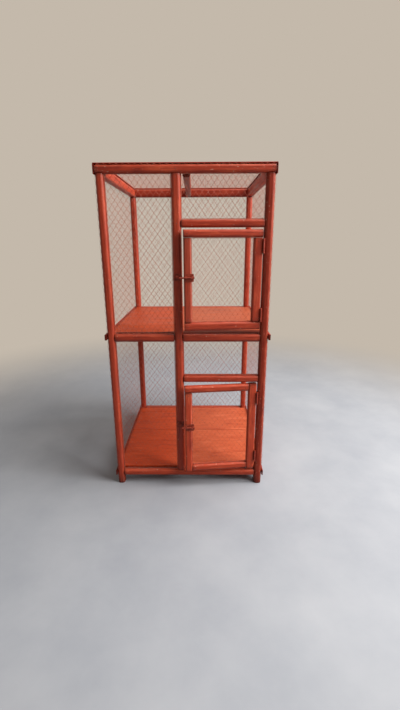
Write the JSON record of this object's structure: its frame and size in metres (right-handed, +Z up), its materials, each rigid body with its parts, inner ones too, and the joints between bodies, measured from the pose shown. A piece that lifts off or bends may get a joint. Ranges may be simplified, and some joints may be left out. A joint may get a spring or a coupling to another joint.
{
  "type": "wooden chicken cage",
  "caption": "Tall red-painted wooden chicken cage with an upper and a lower netted compartment, each with its own small framed door, hinges and bolt.",
  "frame": {"origin": "On the floor, under the centre of the box round the whole cage with its doors ajar as in the picture.", "axes": "+X to the right of someone facing the doors, +Y from the doors to the back, +Z up."},
  "size_m": [0.6196, 0.6946, 1.2243],
  "materials": {
    "painted_wood": "brushed semi-gloss red-orange paint on sawn timber, scuffed",
    "lath_wood": "dark red paint on thin laths",
    "painted_hardware": "steel hinges and bolts painted over, worn",
    "galvanized_wire": "galvanized woven netting wire, brushed over with the frame's paint"
  },
  "bodies": {
    "frame": {"bottom_rail_back": "painted_wood", "bottom_rail_front": "painted_wood", "bottom_rail_left": "painted_wood", "bottom_rail_right": "painted_wood", "cross_rail_lower": "painted_wood", "cross_rail_upper": "painted_wood", "floor_bottom": "painted_wood", "floor_mid": "painted_wood", "lower_door_bolt_keeper": "painted_hardware", "lower_door_hinge_bottom_frame_leaf": "painted_hardware", "lower_door_hinge_top_frame_leaf": "painted_hardware", "mid_rail_back": "painted_wood", "mid_rail_front_left": "painted_wood", "mid_rail_front_right": "painted_wood", "mid_rail_left": "painted_wood", "mid_rail_right": "painted_wood", "net_back": "galvanized_wire", "net_bay_lower": "galvanized_wire", "net_bay_upper": "galvanized_wire", "net_left": "galvanized_wire", "net_right": "galvanized_wire", "net_roof": "galvanized_wire", "net_window_lower": "galvanized_wire", "net_window_upper": "galvanized_wire", "post_back_left": "painted_wood", "post_back_right": "painted_wood", "post_front_left": "painted_wood", "post_front_middle": "painted_wood", "post_front_right": "painted_wood", "roof_trim": "lath_wood", "side_lath_bottom_left": "lath_wood", "side_lath_bottom_right": "lath_wood", "side_lath_mid_left": "lath_wood", "side_lath_mid_right": "lath_wood", "top_rail_back": "painted_wood", "top_rail_center": "painted_wood", "top_rail_front": "painted_wood", "top_rail_left": "painted_wood", "top_rail_right": "painted_wood", "upper_door_bolt_keeper": "painted_hardware", "upper_door_hinge_bottom_frame_leaf": "painted_hardware", "upper_door_hinge_top_frame_leaf": "painted_hardware"},
    "lower_door": {"lower_door_bolt_plate": "painted_hardware", "lower_door_bottom_rail": "painted_wood", "lower_door_hinge_bottom_door_leaf": "painted_hardware", "lower_door_hinge_stile": "painted_wood", "lower_door_hinge_top_door_leaf": "painted_hardware", "lower_door_latch_stile": "painted_wood", "lower_door_top_rail": "painted_wood", "net_lower_door": "galvanized_wire"},
    "lower_bolt": {"lower_door_bolt_rod": "painted_hardware"},
    "upper_door": {"net_upper_door": "galvanized_wire", "upper_door_bolt_plate": "painted_hardware", "upper_door_bottom_rail": "painted_wood", "upper_door_hinge_bottom_door_leaf": "painted_hardware", "upper_door_hinge_stile": "painted_wood", "upper_door_hinge_top_door_leaf": "painted_hardware", "upper_door_latch_stile": "painted_wood", "upper_door_top_rail": "painted_wood"},
    "upper_bolt": {"upper_door_bolt_rod": "painted_hardware"}
  },
  "joints": [
    {"name": "upper_door_hinge", "type": "hinge", "parent": "frame", "child": "upper_door", "pos_m": [0.26855, -0.30585, 0.83818], "axis": [0, 0, 1], "range_deg": [-5, 165]},
    {"name": "upper_bolt_slide", "type": "slide", "parent": "upper_door", "child": "upper_bolt", "axis": [-0.9962, -0.0872, 0], "range_m": [0, 0.0134]},
    {"name": "lower_door_hinge", "type": "hinge", "parent": "frame", "child": "lower_door", "pos_m": [0.26855, -0.30585, 0.26093], "axis": [0, 0, 1], "range_deg": [-6.2, 163.8]},
    {"name": "lower_bolt_slide", "type": "slide", "parent": "lower_door", "child": "lower_bolt", "axis": [-0.9942, -0.108, 0], "range_m": [0, 0.0134]}
  ]
}
